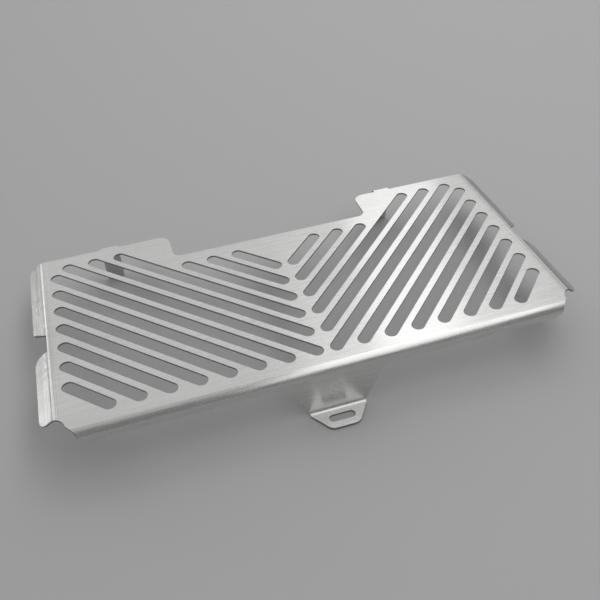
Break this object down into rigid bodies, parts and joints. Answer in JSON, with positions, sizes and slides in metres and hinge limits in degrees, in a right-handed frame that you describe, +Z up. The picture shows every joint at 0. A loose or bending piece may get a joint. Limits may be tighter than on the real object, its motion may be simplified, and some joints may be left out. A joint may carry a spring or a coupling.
{
  "type": "motorcycle radiator guard",
  "caption": "Folded stainless sheet guard with a V grille of slanted slots, side lips, a bracket with a slotted fixing tab in front and hooks behind, to fit over a motorcycle radiator.",
  "frame": {"origin": "middle of the fastening slot, on the underside of the tab", "axes": "+X along the guard's width, +Y from the bracket back to the hooks, +Z up and square to the panel"},
  "size_m": [0.4102, 0.2223, 0.0442],
  "materials": {
    "stainless": "brushed along the width"
  },
  "bodies": {
    "root": {"radiator_guard": "stainless"}
  },
  "joints": []
}
